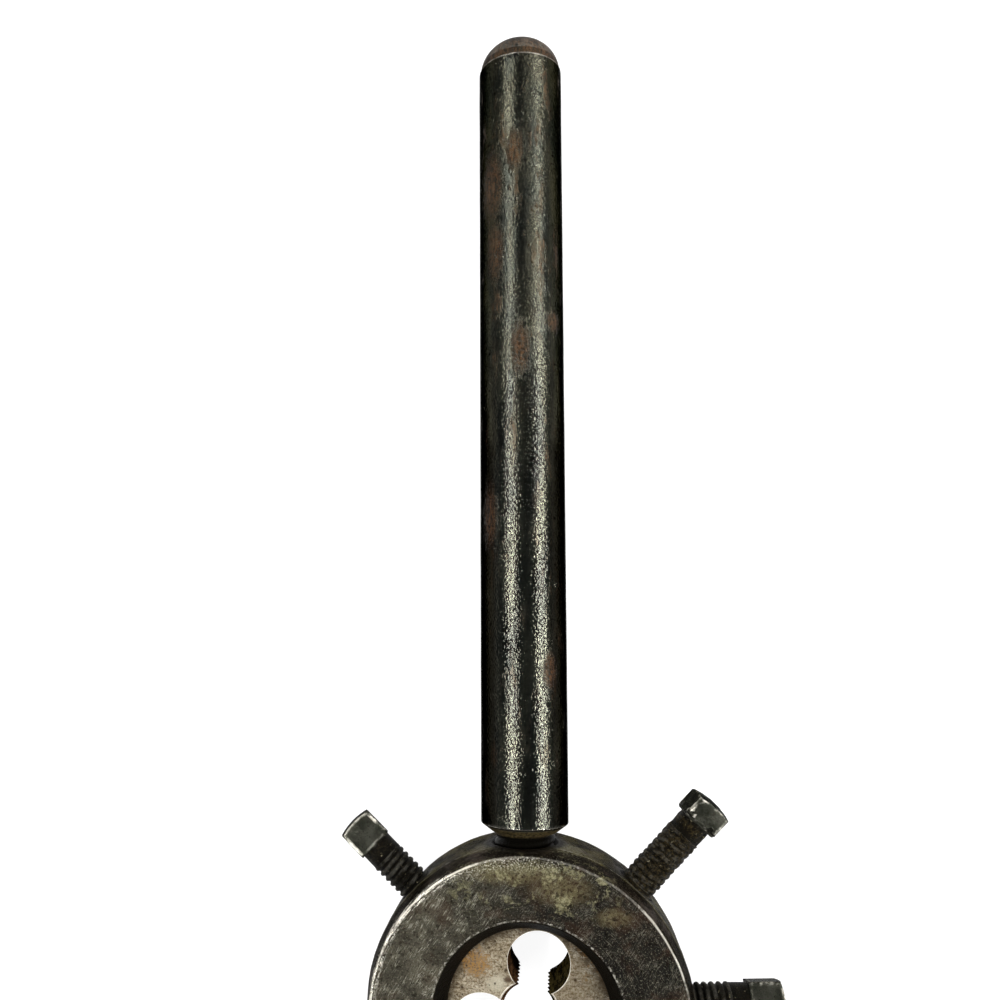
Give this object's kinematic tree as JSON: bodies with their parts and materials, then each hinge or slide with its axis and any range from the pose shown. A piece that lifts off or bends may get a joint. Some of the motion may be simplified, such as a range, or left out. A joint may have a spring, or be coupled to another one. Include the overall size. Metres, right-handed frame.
{
  "type": "round die stock with a threading die",
  "caption": "Two-handled round die stock: a cast ring with square-head set screws that holds a split round threading die under its lip.",
  "frame": {"origin": "on the die's axis, level with the axes of the handles and screws, at the middle of the collar's thickness", "axes": "+Z along the die's axis out of the collar's open front, +Y along the upper handle, +X roughly along the centre screw"},
  "size_m": [0.0795, 0.3658, 0.0176],
  "materials": {
    "collar": "worn dark cast face with bright rim",
    "die": "ground steel, light rust",
    "handle": "black oxide, rusted in patches",
    "screw": "oxidised steel with dried oil"
  },
  "bodies": {
    "stock": {"collar": "collar", "die": "die", "upper_handle": "handle", "lower_handle": "handle"},
    "centre_screw": {"centre_screw": "screw"},
    "upper_closing_screw": {"upper_closing_screw": "screw"},
    "lower_closing_screw": {"lower_closing_screw": "screw"},
    "upper_locking_screw": {"upper_locking_screw": "screw"},
    "lower_locking_screw": {"lower_locking_screw": "screw"}
  },
  "joints": [
    {"name": "centre_travel", "type": "slide", "parent": "stock", "child": "centre_screw", "axis": [0.9981, 0.061, 0], "range_m": [0, 0.0085]},
    {"name": "upper_closing_travel", "type": "slide", "parent": "stock", "child": "upper_closing_screw", "axis": [0.673, 0.7396, 0], "range_m": [-0.0059, 0.0026]},
    {"name": "lower_closing_travel", "type": "slide", "parent": "stock", "child": "lower_closing_screw", "axis": [0.7581, -0.6521, 0], "range_m": [0, 0.0085]},
    {"name": "upper_locking_travel", "type": "slide", "parent": "stock", "child": "upper_locking_screw", "axis": [-0.723, 0.6909, 0], "range_m": [-0.0008, 0.0077]},
    {"name": "lower_locking_travel", "type": "slide", "parent": "stock", "child": "lower_locking_screw", "axis": [-0.6334, -0.7738, 0], "range_m": [0, 0.0085]}
  ]
}
